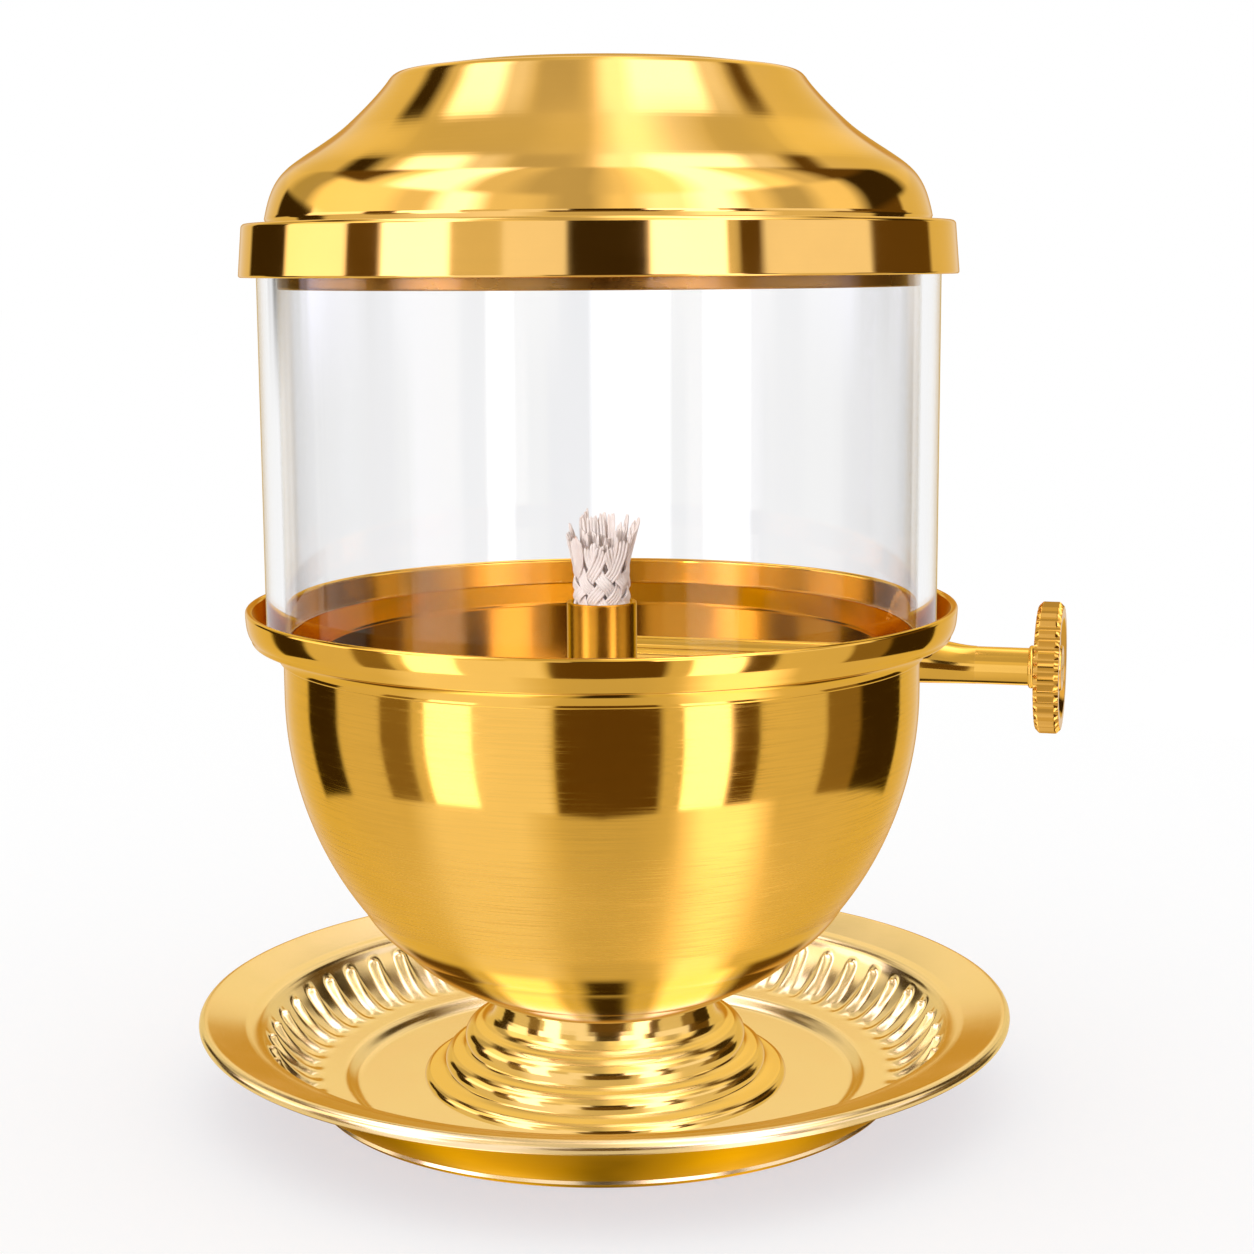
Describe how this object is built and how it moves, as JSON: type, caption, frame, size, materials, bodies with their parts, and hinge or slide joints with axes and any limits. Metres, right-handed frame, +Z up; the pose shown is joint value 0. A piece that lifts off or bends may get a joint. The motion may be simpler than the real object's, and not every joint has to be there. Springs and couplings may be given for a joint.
{
  "type": "akhand diya oil lamp",
  "caption": "Brass ritual oil lamp: round bowl on a stepped foot and fluted drip plate, glass chimney in a gallery ring, lift-off domed lid and a side knob that winds the cotton wick.",
  "frame": {"origin": "centre of the plate's underside, on the lamp's axis", "axes": "+Z up along the lamp's axis, +X along the winder's spindle towards the knob"},
  "size_m": [0.1429, 0.136, 0.1688],
  "materials": {
    "polished_brass": "mirror polished with faint lathe lines",
    "brushed_brass": "brushed round the bowl",
    "plain_brass": "as machined",
    "seal_rubber": "matt",
    "cotton": "braided cotton, frayed at the top",
    "clear_glass": "clear polished tube"
  },
  "bodies": {
    "base": {"plate": "polished_brass", "foot": "polished_brass", "bowl": "brushed_brass", "gallery_ring": "polished_brass", "base_bolt": "plain_brass", "seal_washer": "seal_rubber", "base_washer": "plain_brass", "base_nut": "plain_brass", "burner_foot": "plain_brass", "wick_tube": "polished_brass", "wheel_box": "plain_brass", "wheel_box_cap": "plain_brass", "spindle_sleeve": "polished_brass", "sleeve_ferrule": "polished_brass", "sleeve_lock_ring": "plain_brass", "sleeve_end_ring": "polished_brass"},
    "winder": {"spindle": "plain_brass", "wick_wheel": "plain_brass", "wheel_pin": "plain_brass", "knob": "polished_brass", "knob_screw": "plain_brass"},
    "wick": {"wick": "cotton"},
    "chimney": {"glass_chimney": "clear_glass"},
    "lid": {"lid": "polished_brass", "lid_inner_ring": "plain_brass"}
  },
  "joints": [
    {"name": "knob_turn", "type": "hinge", "parent": "base", "child": "winder", "pos_m": [0.07, 0.0083, 0.07259], "axis": [-1, 0, 0], "range_deg": [-77, 185.5]},
    {"name": "wick_feed", "type": "slide", "parent": "base", "child": "wick", "axis": [0, 0, 1], "range_m": [-0.005, 0.012]},
    {"name": "chimney_lift", "type": "slide", "parent": "base", "child": "chimney", "axis": [0, 0, 1], "range_m": [0, 0.05]},
    {"name": "lid_lift", "type": "slide", "parent": "chimney", "child": "lid", "axis": [0, 0, 1], "range_m": [0, 0.04]}
  ],
  "couplings": [
    {"joint": "wick_feed", "follows": "knob_turn", "m_per_rad": 0.0037}
  ]
}
